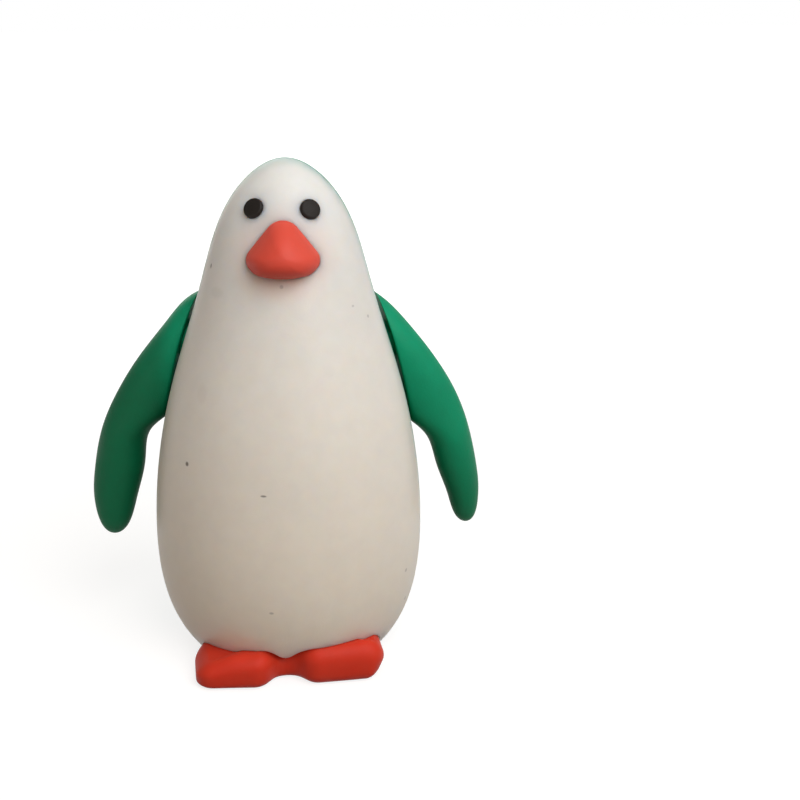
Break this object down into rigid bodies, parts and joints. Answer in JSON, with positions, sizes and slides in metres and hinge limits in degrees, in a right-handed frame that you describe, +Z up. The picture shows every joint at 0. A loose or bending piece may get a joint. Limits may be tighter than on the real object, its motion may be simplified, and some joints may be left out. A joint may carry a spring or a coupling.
{
  "type": "pencil topper eraser",
  "caption": "Soft rubber eraser shaped as a standing penguin, with a blind socket in its base that pushes onto the end of a pencil; its flippers turn on pegs.",
  "frame": {"origin": "middle of the pencil socket's mouth, on the plane that the figure stands on", "axes": "+Z up along the socket, the figure faces -Y, its own left is +X"},
  "size_m": [0.03, 0.0177, 0.037],
  "materials": {
    "white_rubber": "satin",
    "green_rubber": "satin",
    "red_rubber": "satin",
    "black_rubber": "satin"
  },
  "bodies": {
    "body": {"belly_body": "white_rubber", "back_coat": "green_rubber", "beak": "red_rubber", "left_eye": "black_rubber", "right_eye": "black_rubber", "feet": "red_rubber"},
    "left_flipper": {"left_flipper": "green_rubber"},
    "right_flipper": {"right_flipper": "green_rubber"}
  },
  "joints": [
    {"name": "left_flipper_swing", "type": "hinge", "parent": "body", "child": "left_flipper", "pos_m": [0.0076, 0.0028, 0.0234], "axis": [-0.9413, -0.2001, -0.2718], "range_deg": [-40, 40]},
    {"name": "right_flipper_swing", "type": "hinge", "parent": "body", "child": "right_flipper", "pos_m": [-0.0076, 0.0028, 0.0234], "axis": [-0.9413, 0.2001, 0.2718], "range_deg": [-40, 40]}
  ]
}
